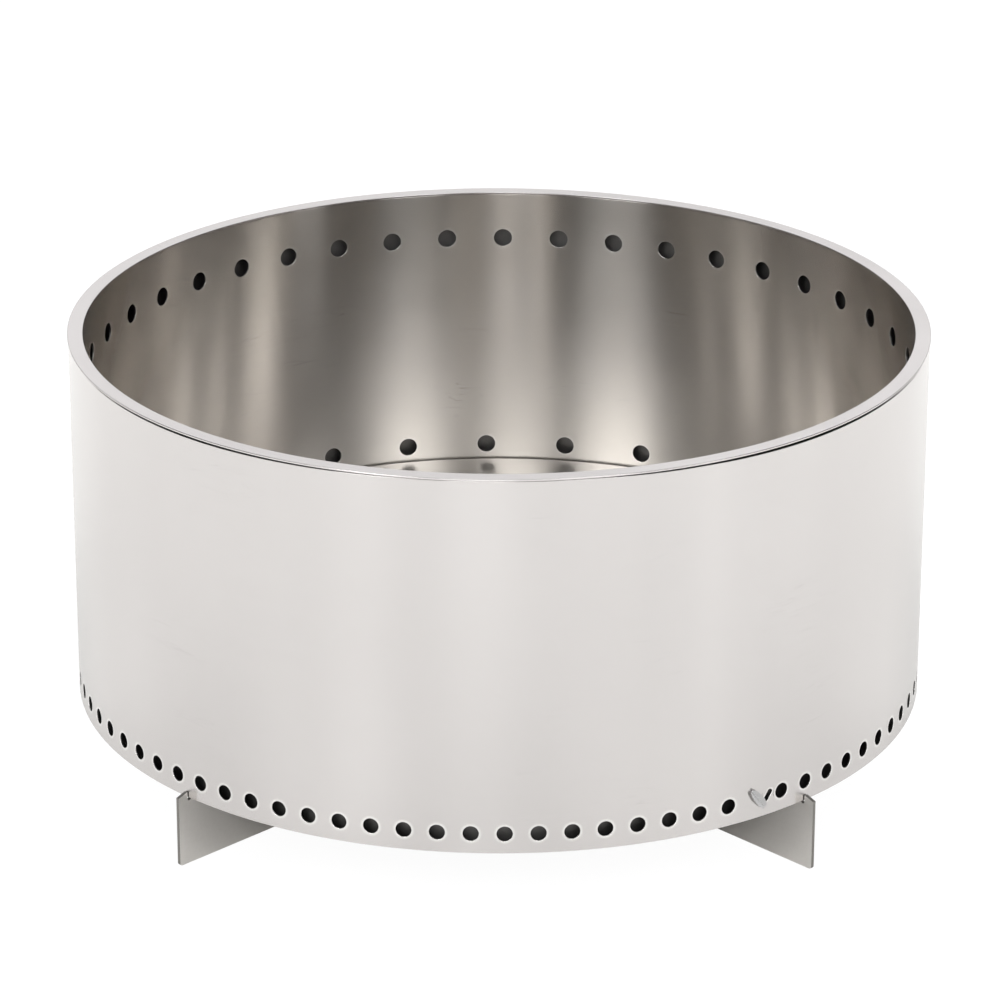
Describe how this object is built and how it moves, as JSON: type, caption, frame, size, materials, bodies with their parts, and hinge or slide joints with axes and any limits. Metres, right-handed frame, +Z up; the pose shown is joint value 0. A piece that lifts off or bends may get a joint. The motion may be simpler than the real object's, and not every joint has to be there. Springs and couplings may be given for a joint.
{
  "type": "smokeless fire pit",
  "caption": "Round double-walled stainless fire pit with rows of air holes, a flat rim ring and a loose floor plate, standing on a cross of two slotted plates.",
  "frame": {"origin": "on the ground, under the centre of the round body", "axes": "+Z up, -Y towards the side that the picture was taken from, +X to that side's right"},
  "size_m": [0.7112, 0.7112, 0.372],
  "materials": {
    "outer_steel": "bright, finely brushed round the body",
    "inner_steel": "mirror-like mill finish with faint brushing and scuffs",
    "rim_steel": "bright, brushed along the ring",
    "floor_steel": "satin",
    "base_steel": "satin, blasted",
    "tab_steel": "polished"
  },
  "bodies": {
    "lower_plate": {"cross_plate_lower": "base_steel"},
    "upper_plate": {"cross_plate_upper": "base_steel"},
    "fire_body": {"outer_shell": "outer_steel", "inner_barrel": "inner_steel", "top_ring": "rim_steel", "bottom_ring": "outer_steel", "floor_bracket_1": "inner_steel", "floor_bracket_2": "inner_steel", "floor_bracket_3": "inner_steel", "floor_bracket_4": "inner_steel", "floor_bracket_5": "inner_steel", "floor_bracket_6": "inner_steel", "floor_bracket_7": "inner_steel", "floor_bracket_8": "inner_steel", "vent_tab": "tab_steel"},
    "floor": {"floor_plate": "floor_steel"}
  },
  "joints": [
    {"name": "upper_plate_lift", "type": "slide", "parent": "lower_plate", "child": "upper_plate", "axis": [0, 0, 1], "range_m": [0, 0.07]},
    {"name": "body_lift", "type": "slide", "parent": "upper_plate", "child": "fire_body", "axis": [0, 0, 1], "range_m": [0, 0.1]},
    {"name": "floor_lift", "type": "slide", "parent": "fire_body", "child": "floor", "axis": [0, 0, 1], "range_m": [0, 0.3]}
  ]
}
